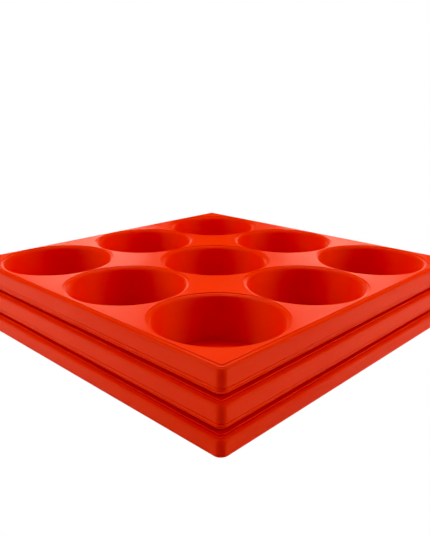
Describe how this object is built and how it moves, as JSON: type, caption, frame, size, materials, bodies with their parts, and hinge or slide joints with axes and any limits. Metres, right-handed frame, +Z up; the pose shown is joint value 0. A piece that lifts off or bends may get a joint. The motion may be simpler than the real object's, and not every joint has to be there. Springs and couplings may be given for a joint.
{
  "type": "paint rack organizer",
  "caption": "Low square rack of stacked printed layers with a grid of round blind pockets that hold paint bottles upright; the layers lift off each other on hidden dowels.",
  "frame": {"origin": "centre of the underside, on the surface that the rack stands on", "axes": "+Z up, out of the pockets; +X and +Y along the rack's sides and along the rows of pockets"},
  "size_m": [0.124, 0.124, 0.0258],
  "materials": {
    "print": "satin, with fine horizontal print lines"
  },
  "bodies": {
    "base": {"base_layer": "print", "base_dowels": "print"},
    "middle": {"middle_layer": "print", "middle_dowels": "print"},
    "top": {"top_layer": "print"}
  },
  "joints": [
    {"name": "middle_lift", "type": "slide", "parent": "base", "child": "middle", "axis": [0, 0, 1], "range_m": [0, 0.03]},
    {"name": "top_lift", "type": "slide", "parent": "middle", "child": "top", "axis": [0, 0, 1], "range_m": [0, 0.03]}
  ]
}
